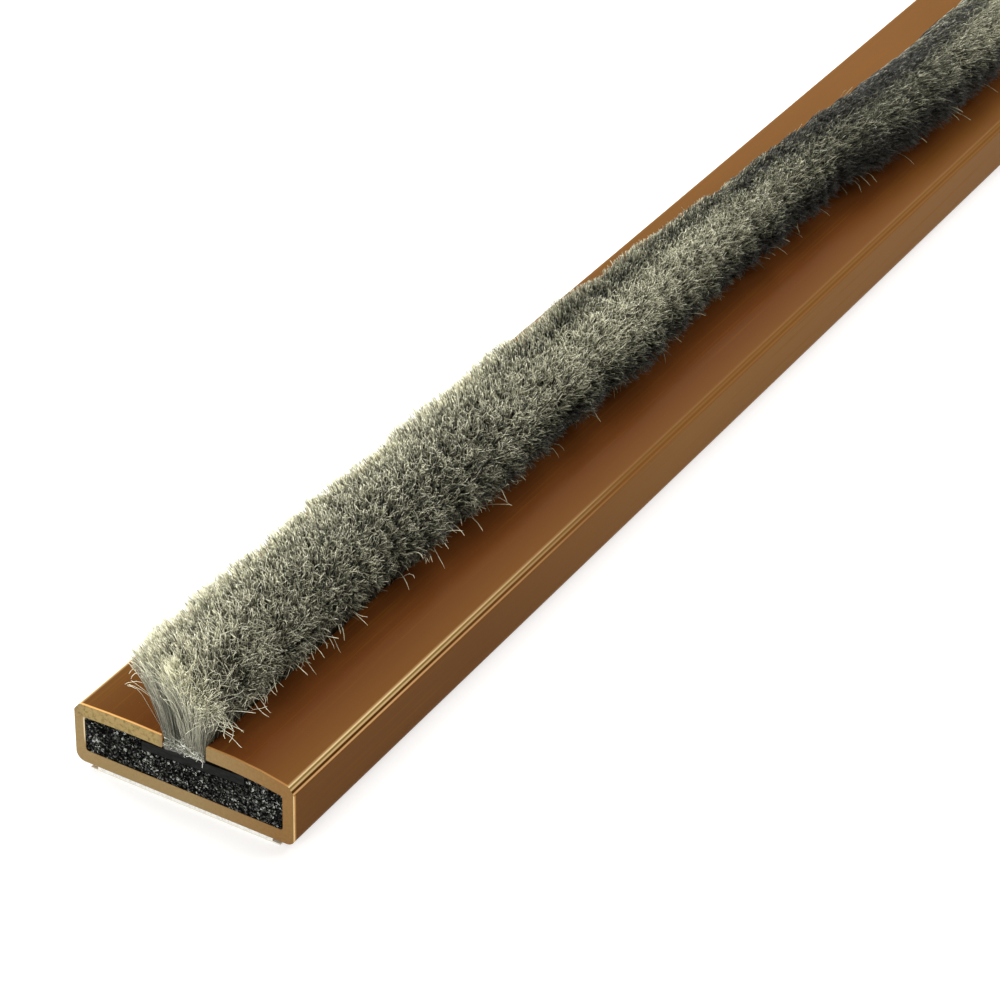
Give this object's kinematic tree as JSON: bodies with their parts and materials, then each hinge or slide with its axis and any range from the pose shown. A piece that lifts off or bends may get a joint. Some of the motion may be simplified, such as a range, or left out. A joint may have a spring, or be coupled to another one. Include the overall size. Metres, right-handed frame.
{
  "type": "brush pile door seal",
  "caption": "Slotted brown plastic door seal strip with an intumescent core, a grey two-row brush pile insert that slides in its slot, and a self-adhesive back.",
  "frame": {"origin": "centre of the seal's back, on the release liner", "axes": "+Z out of the back, through the brush; +Y along the seal, away from the cut end; +X across it, towards the bowed lip"},
  "size_m": [0.015, 0.21, 0.0105],
  "materials": {
    "casing_pvc": "satin extruded, brown",
    "intumescent_graphite": "matt black with bright graphite flakes",
    "backing_strip": "smooth, dark grey",
    "woven_base": "fuzzy woven, pale grey",
    "pile_fibre": "grey fibre pile",
    "foam_tape": "white foam",
    "liner_paper": "waxed paper"
  },
  "bodies": {
    "casing": {"casing": "casing_pvc", "intumescent_core": "intumescent_graphite", "adhesive_tape": "foam_tape", "release_liner": "liner_paper"},
    "pile_insert": {"pile_backing": "backing_strip", "pile_base": "woven_base", "pile_row_left": "pile_fibre", "pile_row_right": "pile_fibre"}
  },
  "joints": [
    {"name": "pile_insert_slide", "type": "slide", "parent": "casing", "child": "pile_insert", "axis": [0, -1, 0], "range_m": [-0.15, 0.15]}
  ]
}
